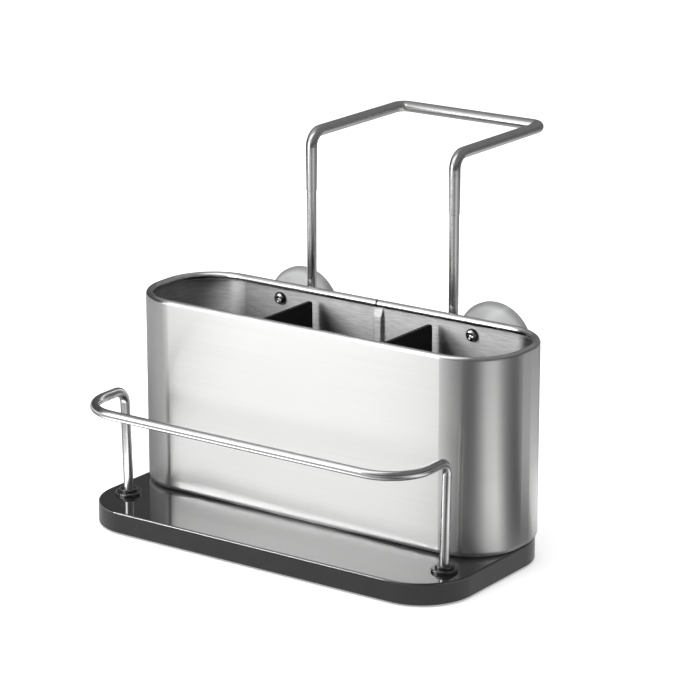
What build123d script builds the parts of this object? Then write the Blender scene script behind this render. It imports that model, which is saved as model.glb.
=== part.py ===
from build123d import *
import os

# Kitchen sink caddy, in millimetres.
# X runs right, Y runs back towards the sink wall, Z runs up.
# The origin is the centre of the base, on the surface that the caddy stands on.

# Base tray: moulded, glossy black
base_width = 224.0
base_depth = 108.0
base_corner_radius = 28.5
base_height = 11.0
base_plate = 3.0
base_rim = 7.0
base_edge_round = 0.8
base_rib = 1.8
base_rib_depth = 5.5
base_rib_pitch = 32.0
base_ribs_each_side = 3
lip_height = 1.4
lip_thickness = 1.8

# Rubber ring that the base stands on
foot_width = 3.2
foot_proud = 1.0
foot_seat_depth = 2.6
foot_edge_round = 0.4
foot_drain_width = 9.0

# Steel shell: one wrapped sheet with a rolled rim and a turned-in bottom
sheet = 0.7
shell_overhang = 1.0
shell_depth = 66.4
shell_height = 102.6
rim_roll = 4.2
rim_roll_turn = 255.0
bottom_bend = 3.0
flange_width = 15.0
seam_width = 4.7
seam_proud = 2.0
seam_offset = 3.0
seam_top_slope = 5.0
seam_round = 0.5
seam_joint = 0.5

# Screws that hold the shell's flange down on the base
shell_screw_diameter = 3.5
shell_screw_head = 7.0
shell_screw_head_height = 2.1
shell_screw_length = 7.5
shell_screw_span = 140.0
shell_screw_inset = 10.8
shell_screw_boss = 8.0

# Divider insert: one black moulding that lifts out.
# A drop or a rise, here and below, is measured from the top of the shell's rim.
insert_gap = 0.5
insert_wall = 1.8
insert_wall_height = 13.0
insert_floor = 2.0
insert_floor_height = 4.0
divider_drop = 6.6
divider_top_thickness = 1.8
divider_foot_thickness = 2.8
divider_corner_round = 1.6
compartments = 3
drain_slot_width = 3.0
drain_slot_pitch = 10.0
insert_slot_length = 34.0
insert_slots_each_side = 2
base_slot_length = 46.0
base_slots_each_side = 1

# Front rail: one bent wire that stands in two rubber collars
wire = 5.0
wire_end_chamfer = 0.8
rail_post_inset = 13.6
rail_post_stand_off = 16.2
rail_height = 68.4
rail_arm = 38.1
rail_lean = 1.4
rail_top_bend = 6.9
rail_corner_bend = 22.4
rail_lean_bend = 60.0
collar_flange = 13.6
collar_flange_height = 1.7
collar_neck = 9.6
collar_height = 3.4
collar_round = 0.8
collar_sleeve = 9.0
collar_sleeve_depth = 7.5
collar_boss = 14.0

# Faucet hook: one bent wire, drawn down to thinner legs that slide in two brackets
hook_wire = 5.8
hook_span = 88.6
hook_stand_off = 5.7
hook_rise = 79.9
hook_reach = 82.5
hook_top_bend = 7.5
hook_back_bend = 5.5
hook_leg_drop = 55.6
hook_shoulder = 5.4
hook_shoulder_rise = 49.4
hook_shoulder_length = 20.0
hook_shoulder_chamfer = 0.15
leg_cap_diameter = 8.0
leg_cap_height = 9.0
leg_cap_cover = 7.0
leg_cap_round = 1.5

# Brackets: black mouldings on the shell's back, each held by one screw
bracket_drop = 5.6
bracket_height = 28.0
bracket_pad = 3.0
bracket_pad_margin = 2.0
bracket_pad_corner = 4.0
bracket_depth = 11.0
bracket_tube = 11.0
bracket_web = 3.0
bracket_round = 0.8
bush_diameter = 8.0
bush_height = 5.0
bracket_screw_span = 120.0
bracket_screw_drop = 9.6
bracket_screw_diameter = 4.0
bracket_screw_head = 6.8
bracket_screw_head_height = 2.4
bracket_screw_length = 9.0
bracket_screw_boss = 8.8
cross_slot_width = 1.1
cross_slot_length = 3.6
cross_slot_depth = 1.3
head_round_share = 0.8

# Suction cups: soft clear mouldings, each with a button that snaps into its bracket
cup_diameter = 44.6
cup_drop = 19.5
cup_stand_off = 20.0
cup_edge = 1.0
cup_wall = 2.4
cup_neck = 7.0
cup_shoulder = 13.0
cup_shoulder_gap = 0.8
cup_button = 9.6
cup_button_thickness = 3.4
cup_socket_wall = 3.0
cup_socket_boss = 16.0

# Clearances on the radius or on one face
running = 0.05
seated = 0.02
loose = 0.3

# Levels and lines that the pieces share
base_bottom = foot_proud
base_top = base_bottom + base_height
plate_bottom = base_top - base_plate
shell_width = base_width + 2 * shell_overhang
shell_back = base_depth / 2 + shell_overhang
shell_centre_y = shell_back - shell_depth / 2
shell_corner_radius = min(base_corner_radius + shell_overhang, shell_depth / 2 - sheet)
shell_top = base_top + shell_height
shell_inner_back = shell_back - sheet
flange_top = base_top + sheet
rib_bottom = plate_bottom - base_rib_depth
insert_inset = rim_roll + insert_gap
insert_width = shell_width - 2 * insert_inset
insert_depth = shell_depth - 2 * insert_inset
insert_floor_level = flange_top + insert_floor_height
insert_floor_top = insert_floor_level + insert_floor
compartment_pitch = (shell_width - 2 * sheet) / compartments
collar_bottom = base_top - collar_sleeve_depth
rail_post_x = base_width / 2 - rail_post_inset
rail_post_y = shell_back - shell_depth - rail_post_stand_off
rail_front_y = rail_post_y - rail_arm
leg_x = hook_span / 2
leg_y = shell_back + hook_stand_off
screw_x = bracket_screw_span / 2
bracket_back = shell_back + bracket_depth
bracket_top = shell_top - bracket_drop
bracket_bottom = bracket_top - bracket_height
bracket_screw_level = shell_top - bracket_screw_drop
cup_level = shell_top - cup_drop
hook_height = shell_top + hook_rise
hook_shoulder_level = shell_top + hook_shoulder_rise
hook_leg_bottom = shell_top - hook_leg_drop
divider_top = shell_top - divider_drop


def slab(width, depth, corner, low, high, centre_y=0.0):
    """A rounded rectangle from one level up to another."""
    outline = Pos(0, centre_y, low) * RectangleRounded(width, depth, corner)
    return extrude(outline, high - low)


def base_slab(inset, low, high):
    """The base's outline, drawn in by an inset."""
    corner = base_corner_radius - inset
    return slab(base_width - 2 * inset, base_depth - 2 * inset, corner, low, high)


def shell_slab(inset, low, high):
    """The shell's outline, drawn in by an inset."""
    width = shell_width - 2 * inset
    depth = shell_depth - 2 * inset
    corner = shell_corner_radius - inset
    return slab(width, depth, corner, low, high, shell_centre_y)


def rod(diameter, low, high, x=0.0, y=0.0):
    """An upright round bar between two levels."""
    return extrude(Pos(x, y, low) * Circle(diameter / 2), high - low)


def rod_back(diameter, front, back, x, level):
    """A round bar along Y between two planes."""
    start = Plane(origin=(x, front, level), x_dir=(1, 0, 0), z_dir=(0, 1, 0))
    return extrude(start * Circle(diameter / 2), back - front)


def block(x, y, z):
    """A box given by its lowest and highest value along each axis."""
    size = Box(x[1] - x[0], y[1] - y[0], z[1] - z[0])
    return Pos((x[0] + x[1]) / 2, (y[0] + y[1]) / 2, (z[0] + z[1]) / 2) * size


def slot_cut(length, x, y, low, high, turned):
    """A round-ended slot along X, or along Y where it is turned."""
    spot = Pos(x, y, low) * Rot(0, 0, 90 if turned else 0)
    return extrude(spot * SlotOverall(length, drain_slot_width), high - low)


def centred_row(reach, pitch):
    """Places of a row: one in the middle and as many as the reach on each side."""
    return [step * pitch for step in range(-reach, reach + 1)]


def carry_round(profile):
    """Carry a profile round the shell's outline, in straights and quarter turns.

    The profile lies in the XZ plane, with X measured from the axis of the corner.
    """
    quarter = revolve(profile, Axis.Z, 90)
    pieces = []
    for turn in range(4):
        if turn % 2 == 0:
            across, along = shell_width, shell_depth
        else:
            across, along = shell_depth, shell_width
        x = across / 2 - shell_corner_radius
        y = along / 2 - shell_corner_radius
        straight = Pos(x, -y, 0) * extrude(profile, 2 * y, dir=(0, 1, 0))
        pieces.append(Rot(0, 0, 90 * turn) * (straight + Pos(x, y, 0) * quarter))
    return Pos(0, shell_centre_y, 0) * (pieces[0] + pieces[1:])


def shell_screw_spots():
    """Centres of the screws through the flange."""
    front = shell_back - shell_depth + shell_screw_inset
    back = shell_back - shell_screw_inset
    half = shell_screw_span / 2
    return [(-half, front), (half, front), (-half, back), (half, back)]


def rail_post_spots():
    """Centres of the collars that hold the rail's posts."""
    return [(-rail_post_x, rail_post_y), (rail_post_x, rail_post_y)]


def make_base_tray():
    """Plate with a deep rim, ribs, screw bosses, collar sockets and drain slots."""
    tray = base_slab(0, base_bottom, base_top)
    top_edges = tray.faces().sort_by(Axis.Z)[-1].edges()
    tray = fillet(top_edges, base_edge_round)
    cavity = base_slab(base_rim, base_bottom, plate_bottom)
    tray -= cavity

    ribs = []
    for x in centred_row(base_ribs_each_side, base_rib_pitch):
        half = base_rib / 2
        depth = (-base_depth / 2, base_depth / 2)
        ribs.append(block((x - half, x + half), depth, (rib_bottom, plate_bottom)))
    for y in centred_row(1, base_rib_pitch):
        half = base_rib / 2
        width = (-base_width / 2, base_width / 2)
        ribs.append(block(width, (y - half, y + half), (rib_bottom, plate_bottom)))
    tray += (ribs[0] + ribs[1:]) & cavity

    for x, y in shell_screw_spots():
        tray += rod(shell_screw_boss, rib_bottom, plate_bottom, x, y)
    for x, y in rail_post_spots():
        tray += rod(collar_boss, rib_bottom, plate_bottom, x, y) & base_slab(
            base_rim / 2, base_bottom, plate_bottom
        )

    lip = shell_slab(flange_width + loose, base_top, base_top + lip_height)
    lip -= shell_slab(flange_width + loose + lip_thickness, base_top, base_top + lip_height)
    tray += lip

    for x, y in shell_screw_spots():
        hole_bottom = flange_top - shell_screw_length
        tray -= rod(shell_screw_diameter + 2 * seated, hole_bottom, base_top, x, y)
    for x, y in rail_post_spots():
        tray -= rod(collar_sleeve + 2 * seated, collar_bottom, base_top, x, y)
    for middle in centred_row(compartments // 2, compartment_pitch):
        for row in centred_row(base_slots_each_side, drain_slot_pitch):
            y = shell_centre_y + row
            tray -= slot_cut(base_slot_length, middle, y, rib_bottom, base_top, False)

    tray -= foot_band(base_bottom, base_bottom + foot_seat_depth, seated)
    return tray


def foot_band(low, high, spare):
    """A band along the middle of the base's rim."""
    inset = (base_rim - foot_width) / 2
    outside = base_slab(inset - spare, low, high)
    return outside - base_slab(inset + foot_width + spare, low, high)


def make_foot_ring():
    """Rubber ring pressed into the rim, with a gap at the back that lets water out."""
    ring = foot_band(0, base_bottom + foot_seat_depth, 0)
    ring = fillet(ring.faces().sort_by(Axis.Z)[0].edges(), foot_edge_round)
    half = foot_drain_width / 2
    back = (base_depth / 2 - base_rim, base_depth / 2)
    return ring - block((-half, half), back, (0, base_bottom))


def make_steel_shell():
    """Wrapped sheet: rolled rim, wall, turned-in flange, lock seam and screw holes."""
    roll = rim_roll / 2
    roll_centre = (shell_corner_radius - roll, shell_top - roll)
    bend_centre = (shell_corner_radius - bottom_bend, base_top + bottom_bend)
    flange_edge = shell_corner_radius - flange_width

    roll_outside = CenterArc(roll_centre, roll, 0, rim_roll_turn)
    roll_inside = CenterArc(roll_centre, roll - sheet, 0, rim_roll_turn)
    bend_outside = CenterArc(bend_centre, bottom_bend, -90, 90)
    bend_inside = CenterArc(bend_centre, bottom_bend - sheet, -90, 90)
    section = make_face(
        [
            roll_outside,
            Line(roll_outside @ 1, roll_inside @ 1),
            roll_inside,
            Line(roll_inside @ 0, bend_inside @ 1),
            bend_inside,
            Line(bend_inside @ 0, (flange_edge, flange_top)),
            Line((flange_edge, flange_top), (flange_edge, base_top)),
            Line((flange_edge, base_top), bend_outside @ 0),
            bend_outside,
            Line(bend_outside @ 1, roll_outside @ 0),
        ]
    )
    shell = carry_round(Plane.XZ * section)

    seam_top = shell_top - rim_roll
    seam_front = shell_inner_back - seam_proud
    seam_section = [
        (shell_inner_back, base_top + bottom_bend),
        (seam_front, base_top + bottom_bend),
        (seam_front, seam_top - seam_top_slope),
        (shell_inner_back, seam_top),
    ]
    seam_face = Plane.YZ * make_face(Polyline(*seam_section, close=True))
    seam = Pos(seam_offset - seam_width / 2, 0, 0) * extrude(seam_face, seam_width)
    seam = fillet(seam.edges().filter_by(Axis.Z).group_by(Axis.Y)[0], seam_round)
    shell += seam

    joint_x = (seam_offset - seam_joint / 2, seam_offset + seam_joint / 2)
    joint_y = (shell_back - rim_roll - sheet, shell_back)
    shell -= block(joint_x, joint_y, (shell_top - roll, shell_top))

    for side in (-1, 1):
        hole = bracket_screw_diameter + 2 * loose
        front = shell_inner_back
        shell -= rod_back(hole, front, shell_back, side * screw_x, bracket_screw_level)
    for x, y in shell_screw_spots():
        hole = shell_screw_diameter + 2 * loose
        shell -= rod(hole, base_top, flange_top, x, y)
    return shell


def pan_head(diameter, height):
    """A domed head that stands on Z = 0, with a cross-shaped recess."""
    head = rod(diameter, 0, height)
    head = fillet(head.faces().sort_by(Axis.Z)[-1].edges(), height * head_round_share)
    for turn in (0, 90):
        bar = Box(cross_slot_length, cross_slot_width, 2 * cross_slot_depth)
        head -= Pos(0, 0, height) * Rot(0, 0, turn) * bar
    return head


def make_shell_screws():
    """Four pan-head screws through the flange into the base's bosses."""
    head = pan_head(shell_screw_head, shell_screw_head_height)
    screw = head + rod(shell_screw_diameter, -shell_screw_length, 0)
    return Compound([Pos(x, y, flange_top) * screw for x, y in shell_screw_spots()])


def make_divider_insert():
    """Low tray with a slotted floor and two tapered dividers."""
    inner = insert_inset + insert_wall
    wall_top = flange_top + insert_wall_height
    insert = shell_slab(insert_inset, flange_top, wall_top)
    insert -= shell_slab(inner, flange_top, wall_top)
    insert += shell_slab(inner, insert_floor_level, insert_floor_top)

    taper = [
        (-divider_foot_thickness / 2, insert_floor_level),
        (divider_foot_thickness / 2, insert_floor_level),
        (divider_top_thickness / 2, divider_top),
        (-divider_top_thickness / 2, divider_top),
    ]
    section = Plane.XZ * make_face(Polyline(*taper, close=True))
    plate = Pos(0, shell_centre_y + insert_depth / 2, 0) * extrude(section, insert_depth)
    top_corners = plate.edges().filter_by(Axis.X).group_by(Axis.Z)[-1]
    plate = fillet(top_corners, divider_corner_round)
    for place in range(1, compartments):
        x = (place - compartments / 2) * compartment_pitch
        insert += Pos(x, 0, 0) * plate

    for middle in centred_row(compartments // 2, compartment_pitch):
        for row in centred_row(insert_slots_each_side, drain_slot_pitch):
            spot = (middle + row, shell_centre_y, insert_floor_level, insert_floor_top)
            insert -= slot_cut(insert_slot_length, *spot, True)
    return insert


def bent_wire(points, bends, diameter):
    """A round wire along straight runs that are joined by bends."""
    path = FilletPolyline(*points, radius=bends)
    start = Plane(origin=path @ 0, z_dir=path % 0)
    return sweep(start * Circle(diameter / 2), path=path)


def make_front_rail():
    """Wire rail: upright feet, posts that lean out a little, side arms and front bar."""
    foot_x = rail_post_x
    top_x = foot_x + rail_lean
    lean_level = base_top + collar_height + wire
    right = [
        (foot_x, rail_post_y, collar_bottom + loose),
        (foot_x, rail_post_y, lean_level),
        (top_x, rail_post_y, rail_height),
        (top_x, rail_front_y, rail_height),
    ]
    left = [(-x, y, z) for x, y, z in reversed(right)]
    bends = [rail_lean_bend, rail_top_bend, rail_corner_bend]
    rail = bent_wire(right + left, bends + bends[::-1], wire)
    return chamfer(rail.faces().filter_by(GeomType.PLANE).edges(), wire_end_chamfer)


def make_rail_collar(x, y):
    """Rubber collar: flange and neck above the tray, and a sleeve in its socket."""
    collar = rod(collar_sleeve, collar_bottom, base_top, x, y)
    for diameter, height in (
        (collar_flange, collar_flange_height),
        (collar_neck, collar_height),
    ):
        ring = rod(diameter, base_top, base_top + height, x, y)
        collar += fillet(ring.faces().sort_by(Axis.Z)[-1].edges(), collar_round)
    bore = wire + 2 * running
    return collar - rod(bore, collar_bottom, base_top + collar_height, x, y)


def make_faucet_hook():
    """Wire hook: two arms that reach back, the bar that joins them, and thinner legs."""
    shoulder_top = hook_shoulder_level + hook_shoulder_length
    left = [
        (-leg_x, leg_y, shoulder_top),
        (-leg_x, leg_y, hook_height),
        (-leg_x, leg_y + hook_reach, hook_height),
    ]
    right = [(-x, y, z) for x, y, z in reversed(left)]
    bends = [hook_top_bend, hook_back_bend]
    hook = bent_wire(left + right, bends + bends[::-1], hook_wire)
    for x in (-leg_x, leg_x):
        leg = rod(wire, hook_leg_bottom, hook_shoulder_level, x, leg_y)
        leg = chamfer(leg.faces().sort_by(Axis.Z)[0].edges(), wire_end_chamfer)
        middle = hook_shoulder_level + hook_shoulder_length / 2
        taper = Cone(hook_shoulder / 2, hook_wire / 2, hook_shoulder_length)
        taper = chamfer(taper.faces().sort_by(Axis.Z)[0].edges(), hook_shoulder_chamfer)
        hook += [leg, Pos(x, leg_y, middle) * taper]
    return hook


def make_leg_cap(x):
    """Rubber cap pushed over the end of a leg, which stops the leg under its bracket."""
    top = hook_leg_bottom + leg_cap_cover
    cap = rod(leg_cap_diameter, top - leg_cap_height, top, x, leg_y)
    cap = fillet(cap.faces().sort_by(Axis.Z)[0].edges(), leg_cap_round)
    return cap - rod(wire + 2 * seated, hook_leg_bottom, top, x, leg_y)


def make_hook_bracket(side):
    """Bracket: pad on the shell, tube for the leg, boss for the screw and the cup."""
    leg = side * leg_x
    screw = side * screw_x
    front = Plane(origin=(0, shell_back, 0), x_dir=(-1, 0, 0), z_dir=(0, 1, 0))

    pad_near = leg_x - bracket_tube / 2
    pad_far = screw_x + cup_socket_boss / 2 + bracket_pad_margin
    pad_middle = -side * (pad_near + pad_far) / 2
    pad = front * Pos(pad_middle, bracket_bottom + bracket_height / 2)
    pad *= RectangleRounded(pad_far - pad_near, bracket_height, bracket_pad_corner)
    pad = extrude(pad, bracket_pad)

    cup_circle = Pos(-screw, cup_level) * Circle(cup_socket_boss / 2)
    screw_circle = Pos(-screw, bracket_screw_level) * Circle(bracket_screw_boss / 2)
    egg = make_hull((cup_circle + screw_circle).edges())
    boss = extrude(front * egg, bracket_depth)
    boss = fillet(boss.faces().sort_by(Axis.Y)[-1].edges(), bracket_round)

    tube = rod(bracket_tube, bracket_bottom, bracket_top, leg, leg_y)
    web_level = (cup_level - bracket_web / 2, cup_level + bracket_web / 2)
    web = block(sorted((leg, screw)), (shell_back, leg_y), web_level)
    bracket = pad + boss + tube + web
    bracket -= rod(wire + 2 * loose, bracket_bottom, bracket_top, leg, leg_y)

    bush_hole = bush_diameter + 2 * seated
    bracket -= rod(bush_hole, bracket_top - bush_height, bracket_top, leg, leg_y)
    screw_hole = bracket_screw_diameter + 2 * seated
    screw_end = shell_back + bracket_screw_length
    bracket -= rod_back(screw_hole, shell_back, screw_end, screw, bracket_screw_level)

    socket_back = bracket_back - cup_socket_wall
    socket_front = socket_back - cup_button_thickness
    button_hole = cup_button + 2 * seated
    neck_hole = cup_neck + 2 * seated
    bracket -= rod_back(button_hole, socket_front, socket_back, screw, cup_level)
    bracket -= rod_back(neck_hole, socket_back, bracket_back, screw, cup_level)
    return bracket


def make_leg_bush(x):
    """Rubber bush in the top of a bracket's tube, which grips the leg."""
    bush = rod(bush_diameter, bracket_top - bush_height, bracket_top, x, leg_y)
    return bush - rod(wire + 2 * running, bracket_top - bush_height, bracket_top, x, leg_y)


def make_bracket_screws():
    """Two pan-head screws from inside the shell into the brackets."""
    head = pan_head(bracket_screw_head, bracket_screw_head_height)
    shank = bracket_screw_length + sheet
    screw = head + rod(bracket_screw_diameter, -shank, 0)
    facing_in = Rot(90, 0, 0) * screw
    level = bracket_screw_level
    return Compound([Pos(x, shell_inner_back, level) * facing_in for x in (-screw_x, screw_x)])


def make_suction_cup(x):
    """Button, neck and thin dished cup, turned about the bracket's axis.

    The profile lies in the XY plane, with Y measured back from the shell.
    """
    radius = cup_diameter / 2
    neck_start = bracket_depth - cup_socket_wall
    button_start = neck_start - cup_button_thickness
    shoulder = bracket_depth + cup_shoulder_gap
    rim_plane = cup_stand_off + cup_edge
    outside = TangentArc((cup_shoulder / 2, shoulder), (radius, cup_stand_off), tangent=(1, 0))
    inside = TangentArc((0, shoulder + cup_wall), (radius - cup_edge, rim_plane), tangent=(1, 0))
    stem = Polyline(
        (0, button_start),
        (cup_button / 2, button_start),
        (cup_button / 2, neck_start),
        (cup_neck / 2, neck_start),
        (cup_neck / 2, shoulder),
        outside @ 0,
    )
    rim = Polyline(outside @ 1, (radius, rim_plane), inside @ 1)
    middle = Line(inside @ 0, (0, button_start))
    cup = revolve(make_face([stem, outside, rim, inside, middle]), Axis.Y)
    return Pos(x, shell_back, cup_level) * cup


subparts = {
    "base_tray": make_base_tray(),
    "foot_ring": make_foot_ring(),
    "steel_shell": make_steel_shell(),
    "shell_screws": make_shell_screws(),
    "divider_insert": make_divider_insert(),
    "front_rail": make_front_rail(),
    "faucet_hook": make_faucet_hook(),
    "bracket_screws": make_bracket_screws(),
}
for (x, y), name in zip(rail_post_spots(), ("left", "right")):
    subparts[f"rail_collar_{name}"] = make_rail_collar(x, y)
for side, name in ((-1, "left"), (1, "right")):
    subparts[f"hook_bracket_{name}"] = make_hook_bracket(side)
    subparts[f"leg_bush_{name}"] = make_leg_bush(side * leg_x)
    subparts[f"leg_cap_{name}"] = make_leg_cap(side * leg_x)
    subparts[f"suction_cup_{name}"] = make_suction_cup(side * screw_x)

os.makedirs("parts", exist_ok=True)
for name, shape in subparts.items():
    export_step(shape, f"parts/{name}.step")
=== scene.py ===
import bpy
import math
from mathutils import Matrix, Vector


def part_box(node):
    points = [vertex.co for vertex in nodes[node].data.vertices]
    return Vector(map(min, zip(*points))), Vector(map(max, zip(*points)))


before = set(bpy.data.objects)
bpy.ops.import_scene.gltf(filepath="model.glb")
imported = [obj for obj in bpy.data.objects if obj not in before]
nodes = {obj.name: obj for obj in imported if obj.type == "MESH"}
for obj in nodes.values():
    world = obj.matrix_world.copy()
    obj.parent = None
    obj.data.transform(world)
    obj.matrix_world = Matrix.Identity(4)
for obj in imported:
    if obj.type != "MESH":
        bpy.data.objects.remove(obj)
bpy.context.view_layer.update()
scene = bpy.context.scene

# Lengths are in metres and angles in degrees, apart from the camera's lens and sensor

# Camera at the photograph's viewing angle, with its lens and sensor in millimetres
camera_place = Vector((0.8795, -1.2148, 0.5479))
camera_azimuth = 35.19
camera_elevation = 16.63
camera_lens = 160.52
sensor_width = 36.0
camera_clip_start = 0.05
camera_clip_end = 50

# More than any height here, so that a box with this half height counts in plan alone
any_height = 10.0


def middle_of(low, high):
    """The middle of a box in plan, on the ground."""
    return Vector(((low.x + high.x) / 2, (low.y + high.y) / 2, 0))


def straights_of(low, high, radius):
    """Half lengths of the straights of an outline with round corners."""
    half = (high - low) / 2
    return (half.x - radius, half.y - radius, any_height)


# The outlines of the shell and the base in plan, both rounded rectangles
shell_low, shell_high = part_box("steel_shell")
shell_radius = 0.0295
shell_middle = middle_of(shell_low, shell_high)
shell_straights = straights_of(shell_low, shell_high, shell_radius)
base_low, base_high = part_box("base_tray")
base_radius = 0.0285
base_middle = middle_of(base_low, base_high)
base_straights = straights_of(base_low, base_high, base_radius)

# Where the sheet's outside turns into its inside, and where it turns into the rolled rim:
# distances past the outline, heights, and the upward part of the surface's direction
sheet_inside = (-0.0006, -0.0003)
rim_top = shell_high.z
rim_levels = (rim_top - 0.0046, rim_top - 0.0039)
rim_slopes = (0.05, 0.35)

# Painted shade beside the butt joint in the roll at the back: the box that it fills, and its blur
joint_middle = (0.0034, shell_high.y - 0.0025, rim_top - 0.0015)
joint_half = (0.0003, 0.006, 0.0022)
joint_blur = 0.0003

# The axes of the right cup and the right bracket screw, and the rings near their edges, where
# shade is painted
cup_low, cup_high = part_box("suction_cup_right")
cup_radius = (cup_high.z - cup_low.z) / 2
cup_axis = ((cup_low.x + cup_high.x) / 2, 0, cup_low.z + cup_radius)
# Painted shade: the cups turn darker in this ring near the lip
cup_lip_shade = (cup_radius - 0.0028, cup_radius - 0.0008)
screws_low, screws_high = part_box("bracket_screws")
screw_radius = (screws_high.z - screws_low.z) / 2
screw_axis = (screws_high.x - screw_radius, 0, screws_low.z + screw_radius)
screw_shade_ring = (screw_radius - 0.0010, screw_radius - 0.0002)

# Noise values lie mostly between these two
noise_low = 0.3
noise_high = 0.7

# How far the greys of steel are short of blue, and those of the cups short of red
tint = 0.005


def grey(level):
    """An even grey."""
    return (level, level, level)


def warm(level):
    """The grey of steel."""
    return (level, level, level - tint)


def cool(level):
    """The grey of the clear cups."""
    return (level - tint, level, level)


class Shader:
    """Adds nodes to one material or world, and feeds its main node."""

    def __init__(self, owner, main="Principled BSDF"):
        owner.use_nodes = True
        self.owner = owner
        self.nodes = owner.node_tree.nodes
        self.links = owner.node_tree.links
        self.main = self.nodes[main]

    def node(self, kind, **settings):
        """A new node with its settings."""
        made = self.nodes.new(kind)
        for name, value in settings.items():
            setattr(made, name, value)
        return made

    def feed(self, socket, source):
        """Links another node's output to a socket, or gives the socket a plain value."""
        if isinstance(source, bpy.types.NodeSocket):
            self.links.new(source, socket)
        else:
            socket.default_value = source

    def set(self, **sources):
        """Feeds the main node's sockets, named with _ for each space."""
        for name, source in sources.items():
            self.feed(self.main.inputs[name.replace("_", " ")], source)

    def maths(self, operation, *sources):
        """The result of a calculation on plain numbers."""
        made = self.node("ShaderNodeMath", operation=operation)
        for socket, source in zip(made.inputs, sources):
            self.feed(socket, source)
        return made.outputs["Value"]

    def vector(self, operation, *sources):
        """The result of a calculation on vectors."""
        made = self.node("ShaderNodeVectorMath", operation=operation)
        for socket, source in zip(made.inputs, sources):
            self.feed(socket, source)
        return made.outputs["Value" if operation == "LENGTH" else "Vector"]

    def axes(self, vector):
        """A vector's parts, named X, Y and Z."""
        parts = self.node("ShaderNodeSeparateXYZ")
        self.feed(parts.inputs["Vector"], vector)
        return parts.outputs

    def here(self):
        """The place on the object."""
        return self.node("ShaderNodeTexCoord").outputs["Object"]

    def box_distance(self, middle, half_lengths):
        """Distance from a box whose sides lie along the axes, and 0 within it."""
        centred = self.vector("SUBTRACT", self.here(), middle)
        folded = self.vector("ABSOLUTE", centred)
        past = self.vector("SUBTRACT", folded, half_lengths)
        return self.vector("LENGTH", self.vector("MAXIMUM", past, (0, 0, 0)))

    def outline_distance(self, middle, straights, radius):
        """Distance past a rounded rectangle in plan, below 0 within it."""
        return self.maths("SUBTRACT", self.box_distance(middle, straights), radius)

    def axis_distance(self, axis):
        """Distance from the nearer of two axes along Y that mirror each other in X."""
        folded = self.vector("ABSOLUTE", self.here())
        centred = self.vector("SUBTRACT", folded, axis)
        return self.vector("LENGTH", self.vector("MULTIPLY", centred, (1, 0, 1)))

    def noise(self, scale=1.0, detail=2.0, roughness=0.5, stretch=(1, 1, 1)):
        """Cloudy noise over the object, finer along the axes with more stretch."""
        stretched = self.node("ShaderNodeMapping")
        self.feed(stretched.inputs["Vector"], self.here())
        self.feed(stretched.inputs["Scale"], stretch)
        made = self.node("ShaderNodeTexNoise")
        self.feed(made.inputs["Vector"], stretched.outputs["Vector"])
        self.feed(made.inputs["Scale"], scale)
        self.feed(made.inputs["Detail"], detail)
        self.feed(made.inputs["Roughness"], roughness)
        return made.outputs["Fac"]

    def span(self, value, low, high, start=noise_low, end=noise_high):
        """Goes from low to high while a value, by default a noise, goes from start to end."""
        made = self.node("ShaderNodeMapRange")
        self.feed(made.inputs["Value"], value)
        self.feed(made.inputs["From Min"], start)
        self.feed(made.inputs["From Max"], end)
        self.feed(made.inputs["To Min"], low)
        self.feed(made.inputs["To Max"], high)
        return made.outputs["Result"]

    def rise(self, value, start, end):
        """0 up to the start and 1 from the end on."""
        return self.span(value, 0.0, 1.0, start, end)

    def fall(self, value, start, end):
        """1 up to the start and 0 from the end on."""
        return self.span(value, 1.0, 0.0, start, end)

    def ramp(self, value, stops):
        """A colour that changes with a value between stops, each a value and a colour."""
        made = self.node("ShaderNodeValToRGB")
        elements = made.color_ramp.elements
        while len(elements) < len(stops):
            elements.new(0.5)
        for element, (position, colour) in zip(elements, stops):
            element.position = position
            element.color = (*colour, 1)
        self.feed(made.inputs["Fac"], value)
        return made.outputs["Color"]

    def shades(self, noise, dark, light):
        """A colour between a dark and a light one."""
        return self.ramp(noise, [(noise_low, dark), (noise_high, light)])

    def mix(self, share, first, second, data_type="RGBA", blend_type="MIX"):
        """Goes from the first to the second with the share of the second."""
        made = self.node("ShaderNodeMix", data_type=data_type, blend_type=blend_type)
        self.feed(made.inputs["Factor"], share)
        self.feed(made.inputs["A"], first)
        self.feed(made.inputs["B"], second)
        return made.outputs["Result"]

    def bump(self, height, distance, strength, under=None):
        """A fine relief, on top of another where one is given."""
        made = self.node("ShaderNodeBump")
        self.feed(made.inputs["Height"], height)
        self.feed(made.inputs["Distance"], distance)
        self.feed(made.inputs["Strength"], strength)
        if under is not None:
            self.feed(made.inputs["Normal"], under)
        return made.outputs["Normal"]


def new_material(name):
    """The shader of a new material."""
    return Shader(bpy.data.materials.new(name))


def sheet_roughness(shader, inside, broad):
    """The sheet is coarser inside, and burnished where the rim was rolled over."""
    inner_extra = 0.12
    rolled_roughness = 0.15
    facing = shader.node("ShaderNodeNewGeometry").outputs["True Normal"]
    sloping = shader.rise(shader.axes(facing)["Z"], *rim_slopes)
    high = shader.rise(shader.axes(shader.here())["Z"], *rim_levels)
    rolled = shader.maths("MULTIPLY", high, shader.maths("MAXIMUM", sloping, inside))
    sheet = shader.maths("MULTIPLY_ADD", inside, inner_extra, shader.span(broad, 0.28, 0.30))
    return shader.mix(rolled, sheet, rolled_roughness, data_type="FLOAT")


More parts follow.
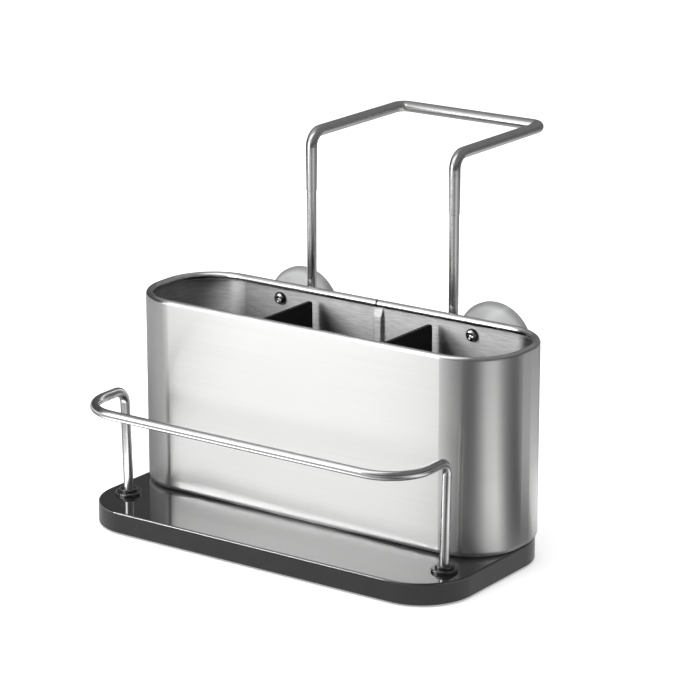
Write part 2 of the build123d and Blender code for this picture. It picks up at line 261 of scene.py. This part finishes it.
def brushed_steel():
    """Satin sheet steel: finely brushed outside, coarser and duller inside the shell, where
    painted light makes its tone brighter.
    """
    shader = new_material("brushed_steel")
    fine = shader.noise(detail=3.0, roughness=0.6, stretch=(9, 9, 1500))
    coarse = shader.noise(detail=3.0, roughness=0.6, stretch=(110, 110, 1300))
    broad = shader.noise(stretch=(3, 3, 160))

    reach = shader.outline_distance(shell_middle, shell_straights, shell_radius)
    inside = shader.fall(reach, *sheet_inside)
    outer_tone = shader.shades(fine, warm(0.655), warm(0.685))
    # Painted light: the inside's steel is brighter than the outside's, with coarse brushing
    # streaks in it
    inner_painted_light_tone = shader.shades(coarse, warm(0.74), warm(1.0))
    sheet_tone = shader.mix(inside, outer_tone, inner_painted_light_tone)
    # Painted shade: the steel turns near black at the butt joint in the rim's roll
    joint = shader.fall(shader.box_distance(joint_middle, joint_half), 0.0, joint_blur)
    joint_shade_tone = shader.shades(fine, grey(0.04), grey(0.06))

    outer_relief = shader.bump(fine, distance=0.00001, strength=0.12)
    inner_grain = shader.maths("MULTIPLY", coarse, inside)
    around = shader.node("ShaderNodeTangent", direction_type="RADIAL", axis="Z")
    shader.set(
        Metallic=1.0,
        Anisotropic=1.0,
        Anisotropic_Rotation=0.25,
        Base_Color=shader.mix(joint, sheet_tone, joint_shade_tone),
        Roughness=sheet_roughness(shader, inside, broad),
        Normal=shader.bump(inner_grain, distance=0.00008, strength=0.7, under=outer_relief),
        Tangent=around.outputs["Tangent"],
    )
    return shader.owner


def wire_steel():
    """Drawn wire, polished but not quite mirror bright."""
    shader = new_material("wire_steel")
    cloud = shader.noise(scale=220.0, detail=3.0)
    shader.set(
        Metallic=1.0,
        Base_Color=shader.shades(cloud, warm(0.63), warm(0.70)),
        Roughness=shader.span(cloud, 0.19, 0.23),
        Normal=shader.bump(cloud, distance=0.00003, strength=0.3),
    )
    return shader.owner


def screw_chrome(name, edge_share=0.0):
    """Bright plated screws, with painted shade and a painted dark reflection as a dark ring at
    the edges of the bracket screws' heads if asked for.
    """
    shader = new_material(name)
    cloud = shader.noise(scale=600.0)
    tone = shader.shades(cloud, grey(0.72), grey(0.82))
    if edge_share > 0.0:
        # Painted shade and painted dark reflection: a near black ring at the edge of the head
        edge_shade_tone = shader.shades(cloud, grey(0.05), grey(0.08))
        edge = shader.span(shader.axis_distance(screw_axis), 0.0, edge_share, *screw_shade_ring)
        tone = shader.mix(edge, tone, edge_shade_tone)
    shader.set(Metallic=1.0, Base_Color=tone, Roughness=shader.span(cloud, 0.06, 0.12))
    return shader.owner


def gloss_black():
    """Mirror-gloss black moulding."""
    shader = new_material("gloss_black")
    cloud = shader.noise(scale=90.0)
    shader.set(
        IOR=1.5,
        Coat_Weight=1.0,
        Coat_Roughness=0.03,
        Coat_IOR=1.8,
        Base_Color=shader.shades(cloud, grey(0.006), grey(0.010)),
        Roughness=shader.span(cloud, 0.05, 0.08),
        Normal=shader.bump(shader.noise(scale=260.0, detail=1.0), distance=0.00001, strength=0.2),
    )
    return shader.owner


def satin_black(name, grain, low, high, shine=0.5, coat=0.0):
    """Black moulding or rubber with a fine texture, and a roughness from low to high."""
    shader = new_material(name)
    cloud = shader.noise(scale=grain, detail=3.0, roughness=0.6)
    shader.set(
        Coat_Weight=coat,
        Coat_Roughness=0.06,
        Specular_IOR_Level=shine,
        Base_Color=shader.shades(cloud, grey(0.007), grey(0.012)),
        Roughness=shader.span(cloud, low, high),
        Normal=shader.bump(cloud, distance=0.00006, strength=0.5),
    )
    return shader.owner


def soft_cup():
    """Clear soft plastic of the suction cups, with a ring of painted shade along the clear lip.
    """
    shader = new_material("soft_cup")
    cloud = shader.noise(scale=45.0)
    body = shader.shades(cloud, cool(0.585), cool(0.645))
    lip = shader.shades(cloud, cool(0.305), cool(0.345))
    shader.set(
        IOR=1.48,
        Transmission_Weight=0.45,
        Coat_Weight=0.6,
        Coat_Roughness=0.06,
        # Painted shade along the lip, darker than the body of the cup
        Base_Color=shader.mix(shader.rise(shader.axis_distance(cup_axis), *cup_lip_shade), body, lip),
        Roughness=shader.span(cloud, 0.14, 0.20),
    )
    return shader.owner


steel = brushed_steel()
wire = wire_steel()
chrome = screw_chrome("screw_chrome")
chrome_shaded_edges = screw_chrome("screw_chrome_edged", edge_share=0.85)
gloss = gloss_black()
insert_black = satin_black("insert_black", grain=1500.0, low=0.36, high=0.46, shine=0.2)
bracket_black = satin_black("bracket_black", grain=1800.0, low=0.42, high=0.55)
rubber = satin_black("black_rubber", grain=900.0, low=0.22, high=0.32)
collar_black = satin_black("collar_black", grain=700.0, low=0.12, high=0.18, shine=0.9, coat=0.5)
cup_soft = soft_cup()

finishes = {
    "base_tray": gloss,
    "foot_ring": rubber,
    "steel_shell": steel,
    "shell_screws": chrome,
    "divider_insert": insert_black,
    "front_rail": wire,
    "rail_collar_left": collar_black,
    "rail_collar_right": collar_black,
    "faucet_hook": wire,
    "leg_cap_left": rubber,
    "leg_cap_right": rubber,
    "hook_bracket_left": bracket_black,
    "hook_bracket_right": bracket_black,
    "leg_bush_left": rubber,
    "leg_bush_right": rubber,
    "bracket_screws": chrome_shaded_edges,
    "suction_cup_left": cup_soft,
    "suction_cup_right": cup_soft,
}
for name, material in finishes.items():
    slots = nodes[name].data.materials
    if len(slots) == 0:
        slots.append(material)
    for index in range(len(slots)):
        slots[index] = material


def direction(azimuth, elevation):
    """Unit vector from the object, by azimuth from the front and elevation."""
    turn = math.radians(azimuth)
    lift = math.radians(elevation)
    level = math.cos(lift)
    return Vector((math.sin(turn) * level, -math.cos(turn) * level, math.sin(lift)))


# Studio: floor and world
floor_half = 6.0
floor_level = -0.0002
floor_glow = 0.32
world_light = 0.75
floor_corners = [
    (-floor_half, -floor_half, floor_level),
    (floor_half, -floor_half, floor_level),
    (floor_half, floor_half, floor_level),
    (-floor_half, floor_half, floor_level),
]


def stage_piece(name, points, faces, material):
    """A piece of the studio, which isn't part of the object."""
    mesh = bpy.data.meshes.new(name)
    mesh.from_pydata(points, [], faces)
    mesh.materials.append(material)
    made = bpy.data.objects.new(name, mesh)
    scene.collection.objects.link(made)
    return made


def floor_material():
    """Pale floor that shows white and keeps the object's shadow."""
    shader = new_material("floor_pale")
    seen = shader.node("ShaderNodeLightPath").outputs["Is Camera Ray"]
    shader.set(
        Base_Color=shader.shades(shader.noise(scale=3.0), grey(0.93), grey(0.95)),
        Roughness=0.9,
        Specular_IOR_Level=0.1,
        Emission_Color=(1, 1, 1, 1),
        Emission_Strength=shader.maths("MULTIPLY", seen, floor_glow),
    )
    return shader.owner


def studio_world():
    """White where it is seen, mirrored or seen through, and a dimmer light on the object."""
    shader = Shader(bpy.data.worlds.new("studio"), "Background")
    path = shader.node("ShaderNodeLightPath").outputs
    mirrored = shader.maths("MAXIMUM", path["Is Camera Ray"], path["Is Glossy Ray"])
    seen = shader.maths("MAXIMUM", mirrored, path["Is Transmission Ray"])
    shader.set(Color=(1, 1, 1, 1), Strength=shader.span(seen, world_light, 1.0, 0.0, 1.0))
    return shader.owner


stage_piece("floor", floor_corners, [(0, 1, 2, 3)], floor_material())
scene.world = studio_world()


# Soft lamps, which light the object and aren't mirrored in it. Powers are in watts.
lamp_target = Vector((0, 0, 0.06))
lamp_distance = 1.3
lamp_size = (1.0, 1.0)
key_direction = direction(-45, 40)
key_power = 9
top_direction = direction(20, 80)
top_power = 6

# A strip inside the tent that only the base mirrors, along its rounded top edge
edge_lamp_place = (-0.1375, -0.214, 0.019)
edge_lamp_direction = direction(-33, 0)
edge_lamp_size = (0.20, 0.034)
edge_lamp_power = 0.5


def soft_lamp(name, place, away, size, power):
    """A rectangular lamp at a place, which shines against the direction away."""
    data = bpy.data.lights.new(name, "AREA")
    data.shape = "RECTANGLE"
    data.size, data.size_y = size
    data.energy = power
    lamp = bpy.data.objects.new(name, data)
    scene.collection.objects.link(lamp)
    lamp.location = place
    lamp.rotation_mode = "QUATERNION"
    lamp.rotation_quaternion = (-away).to_track_quat("-Z", "Y")
    lamp.visible_camera = False
    lamp.visible_glossy = False
    return lamp


key_place = lamp_target + key_direction * lamp_distance
soft_lamp("key_lamp", key_place, key_direction, lamp_size, key_power)
top_place = lamp_target + top_direction * lamp_distance
soft_lamp("top_lamp", top_place, top_direction, lamp_size, top_power)

edge_lamp = soft_lamp(
    "edge_lamp", edge_lamp_place, edge_lamp_direction, edge_lamp_size, edge_lamp_power
)
edge_lamp.visible_glossy = True
edge_receivers = bpy.data.collections.new("edge_receivers")
edge_receivers.objects.link(nodes["base_tray"])
edge_lamp.light_linking.receiver_collection = edge_receivers


# Light tent round the object, seen only in reflections.
# Each row: azimuth about the shell's right end, then the brightness of the floor near the
# base, of the floor further out, of the wall's foot, of its middle, of its top and of the roof
tent_panels = [
    (-180, 0.90, 0.62, 0.24, 0.16, 0.20, 0.22),
    (-150, 0.80, 0.55, 0.24, 0.14, 0.20, 0.25),
    (-125, 0.50, 0.36, 0.30, 0.12, 0.22, 0.36),
    (-105, 0.28, 0.20, 0.55, 0.08, 0.22, 0.44),
    (-91, 0.24, 0.18, 0.68, 0.08, 0.24, 0.52),
    (-79, 0.26, 0.20, 0.90, 0.08, 0.30, 0.62),
    (-71, 0.70, 0.26, 1.10, 0.08, 0.45, 0.76),
    (-65, 3.90, 0.46, 1.05, 0.20, 0.80, 0.95),
    (-60, 3.95, 0.56, 0.80, 0.90, 1.10, 1.20),
    (-56, 3.70, 0.52, 0.48, 2.50, 1.20, 1.50),
    (-50, 3.45, 0.49, 0.38, 3.60, 1.20, 1.70),
    (-45, 3.40, 0.47, 0.34, 3.75, 1.30, 1.90),
    (-41, 3.35, 0.46, 0.34, 3.75, 1.35, 2.00),
    (-35, 3.20, 0.46, 0.36, 3.75, 1.35, 2.00),
    (-30, 2.70, 0.50, 0.50, 2.70, 1.30, 1.90),
    (-25, 1.80, 0.48, 0.70, 0.60, 1.20, 1.60),
    (-10, 0.85, 0.42, 0.80, 0.20, 0.70, 0.80),
    (7, 0.45, 0.24, 0.60, 0.14, 0.40, 0.40),
    (17, 0.18, 0.11, 0.42, 0.11, 0.24, 0.26),
    (27, 0.11, 0.08, 0.36, 0.09, 0.18, 0.20),
    (37, 0.17, 0.13, 0.40, 0.09, 0.18, 0.20),
    (47, 0.40, 0.36, 0.52, 0.10, 0.18, 0.20),
    (62, 0.90, 0.86, 0.78, 0.12, 0.20, 0.20),
    (78, 1.00, 0.96, 0.90, 0.12, 0.20, 0.20),
    (88, 0.62, 0.60, 0.84, 0.12, 0.20, 0.20),
    (98, 0.26, 0.24, 0.74, 0.10, 0.18, 0.20),
    (108, 0.14, 0.12, 0.54, 0.09, 0.18, 0.20),
    (118, 0.10, 0.08, 0.40, 0.09, 0.18, 0.20),
    (130, 0.11, 0.09, 0.32, 0.12, 0.20, 0.20),
    (141, 0.40, 0.34, 0.30, 0.14, 0.20, 0.20),
    (148, 0.90, 0.80, 0.30, 0.15, 0.20, 0.20),
    (160, 0.90, 0.80, 0.26, 0.16, 0.20, 0.20),
]
azimuth_column, near_floor, far_floor, wall_foot, wall_middle, wall_top, roof = range(7)
tent_brightest = 4.0
tent_centre = Vector((shell_straights[0], 0.018, 0))
tent_radius = 0.42
tent_height = 0.45
tent_steps = 72

# Heights at which the wall's foot turns into its middle, and its middle into its top
middle_levels = (0.07, 0.10)
top_levels = (0.26, 0.30)

# The tent's floor, by the distance past the base's edge: where the base stops shading it and
# how dim it is there, where near turns into far, and the gain of the far floor
tent_floor_level = -0.0001
shade_edge = (0.026, 0.036)
shade_level = 0.34
near_edge = (0.050, 0.085)
floor_gains = [(0.0, 1.7), (0.090, 1.7), (0.170, 1.0), (0.240, 0.86)]
floor_gain_reach = 0.25


def glowing(name):
    """The shader of a material that only glows."""
    shader = new_material(name)
    shader.set(
        Base_Color=(0, 0, 0, 1),
        Specular_IOR_Level=0.0,
        Emission_Strength=tent_brightest,
    )
    return shader


def panel_colour(shader, turn, column):
    """One column of the panels, by the share of a turn from behind."""
    stops = []
    for panel in tent_panels:
        share = (panel[azimuth_column] + 180) / 360
        stops.append((share, grey(panel[column] / tent_brightest)))
    return shader.ramp(turn, stops)


def tent_colour(shader, column, bands_above=()):
    """Changes with the azimuth, and with the height where there are bands above."""
    place = shader.axes(shader.here())
    front = shader.maths("MULTIPLY", place["Y"], -1.0)
    angle = shader.maths("ARCTAN2", place["X"], front)
    turn = shader.rise(angle, -math.pi, math.pi)
    colour = panel_colour(shader, turn, column)
    for column_above, levels in bands_above:
        share = shader.rise(place["Z"], *levels)
        colour = shader.mix(share, colour, panel_colour(shader, turn, column_above))
    return colour


def tent_wall_material():
    """Panels in three bands of height."""
    shader = glowing("tent_wall")
    bands_above = [(wall_middle, middle_levels), (wall_top, top_levels)]
    shader.set(Emission_Color=tent_colour(shader, wall_foot, bands_above))
    return shader.owner


def tent_roof_material():
    """Panels that meet over the tent's centre."""
    shader = glowing("tent_roof")
    shader.set(Emission_Color=tent_colour(shader, roof))
    return shader.owner


def tent_floor_material():
    """Evenly dim close to the base, which shades it, and brightest just past that."""
    shader = glowing("tent_floor")
    reach = shader.outline_distance(base_middle - tent_centre, base_straights, base_radius)
    gain_stops = [(distance / floor_gain_reach, grey(gain)) for distance, gain in floor_gains]
    gain = shader.ramp(shader.rise(reach, 0.0, floor_gain_reach), gain_stops)
    far = shader.mix(1.0, tent_colour(shader, far_floor), gain, blend_type="MULTIPLY")
    lit = shader.mix(shader.rise(reach, *near_edge), tent_colour(shader, near_floor), far)
    shade = (*grey(shade_level / tent_brightest), 1)
    shader.set(Emission_Color=shader.mix(shader.rise(reach, *shade_edge), shade, lit))
    return shader.owner


def tent_piece(name, points, faces, material):
    """A piece of the tent, seen only in reflections."""
    made = stage_piece(name, points, faces, material)
    made.location = tent_centre
    made.visible_camera = False
    made.visible_diffuse = False
    made.visible_shadow = False
    made.visible_transmission = False


ring = [direction(360 * step / tent_steps, 0) * tent_radius for step in range(tent_steps)]
whole_ring = [tuple(range(tent_steps))]
wall_points = [(point.x, point.y, level) for point in ring for level in (0.0, tent_height)]
wall_faces = []
for step in range(tent_steps):
    after = (step + 1) % tent_steps
    wall_faces.append((2 * step, 2 * after, 2 * after + 1, 2 * step + 1))
tent_piece("tent_wall", wall_points, wall_faces, tent_wall_material())

roof_points = [(point.x, point.y, tent_height) for point in ring]
tent_piece("tent_roof", roof_points, whole_ring, tent_roof_material())

tent_floor_points = [(point.x, point.y, tent_floor_level) for point in ring]
tent_piece("tent_floor", tent_floor_points, whole_ring, tent_floor_material())

# Camera
camera_data = bpy.data.cameras.new("camera")
camera_data.lens = camera_lens
camera_data.sensor_width = sensor_width
camera_data.clip_start = camera_clip_start
camera_data.clip_end = camera_clip_end
camera = bpy.data.objects.new("camera", camera_data)
scene.collection.objects.link(camera)
back = direction(camera_azimuth, camera_elevation)
camera.location = camera_place
camera.rotation_mode = "QUATERNION"
camera.rotation_quaternion = (-back).to_track_quat("-Z", "Y")
scene.camera = camera

scene.view_settings.view_transform = "Standard"
